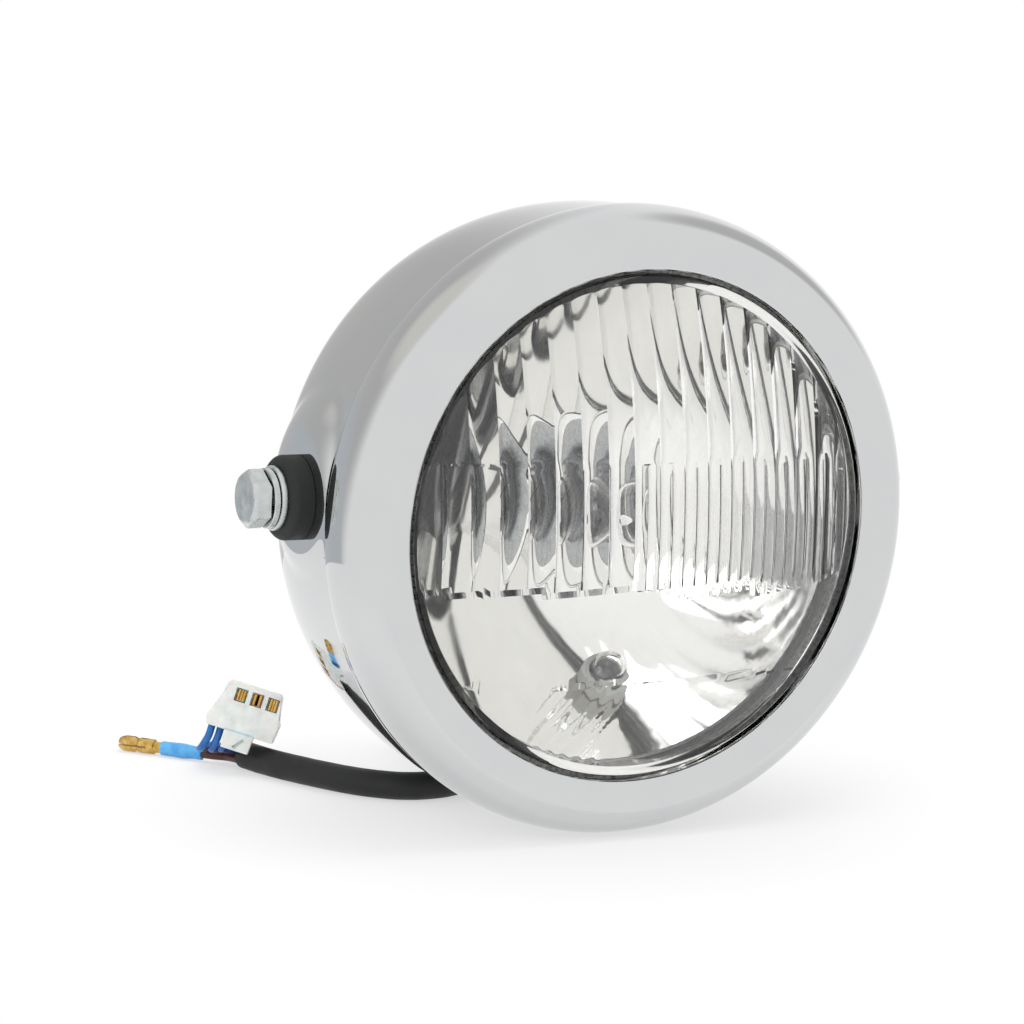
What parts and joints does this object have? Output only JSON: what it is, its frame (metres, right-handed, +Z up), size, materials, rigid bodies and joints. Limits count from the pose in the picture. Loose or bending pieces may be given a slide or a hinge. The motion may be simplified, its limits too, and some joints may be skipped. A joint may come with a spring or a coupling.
{
  "type": "motorcycle headlight",
  "caption": "Round chrome headlight with a fluted glass lens, side bolts in rubber collars, and a sleeved wiring tail with plug and bullet.",
  "frame": {"origin": "middle of the line through the two side bolts, about which the lamp is aimed", "axes": "+X to the right seen from in front, +Y backwards, +Z up; the lens faces -Y"},
  "size_m": [0.1868, 0.1382, 0.159],
  "materials": {
    "chrome": "polished chrome plate",
    "zinc_steel": "bright zinc plate",
    "spring_steel": "plain spring steel",
    "lens_glass": "pressed clear glass",
    "bulb_glass": "clear quartz",
    "mirror": "vacuum aluminised",
    "black_rubber": "matt moulded",
    "grey_sealant": "cured bead",
    "tungsten": "dull",
    "black_nylon": "moulded",
    "white_rubber": "smooth moulded",
    "black_pvc": "extruded, satin",
    "brown_pvc": "extruded",
    "blue_pvc": "extruded",
    "light_blue_pvc": "soft moulded",
    "white_nylon": "translucent moulded",
    "brass": "bright pressed"
  },
  "bodies": {
    "root": {"shell": "chrome", "rim": "chrome", "rim_hook": "spring_steel", "rim_screw": "zinc_steel", "rim_nut": "zinc_steel", "lens": "lens_glass", "lens_seal": "black_rubber", "lens_sealant": "grey_sealant", "reflector": "mirror", "unit_clips": "spring_steel", "bulb_glass": "bulb_glass", "bulb_filament": "tungsten", "bulb_tip": "bulb_glass", "bulb_cap": "zinc_steel", "bulb_spring": "spring_steel", "bulb_connector": "black_nylon", "dust_boot": "black_rubber", "parking_holder": "white_rubber", "parking_bulb": "bulb_glass", "inner_loom": "black_pvc", "left_bolt": "zinc_steel", "left_spring_washer": "zinc_steel", "left_washer": "zinc_steel", "left_collar": "black_rubber", "left_nut": "zinc_steel", "right_bolt": "zinc_steel", "right_spring_washer": "zinc_steel", "right_washer": "zinc_steel", "right_collar": "black_rubber", "right_nut": "zinc_steel", "grommet": "black_rubber", "sleeve": "black_pvc", "brown_wire": "brown_pvc", "crimp_sleeve": "light_blue_pvc", "bullet": "brass", "blue_wire_a": "blue_pvc", "blue_wire_b": "blue_pvc", "blue_wire_c": "blue_pvc", "plug_housing": "white_nylon", "plug_terminals": "brass"}
  },
  "joints": []
}
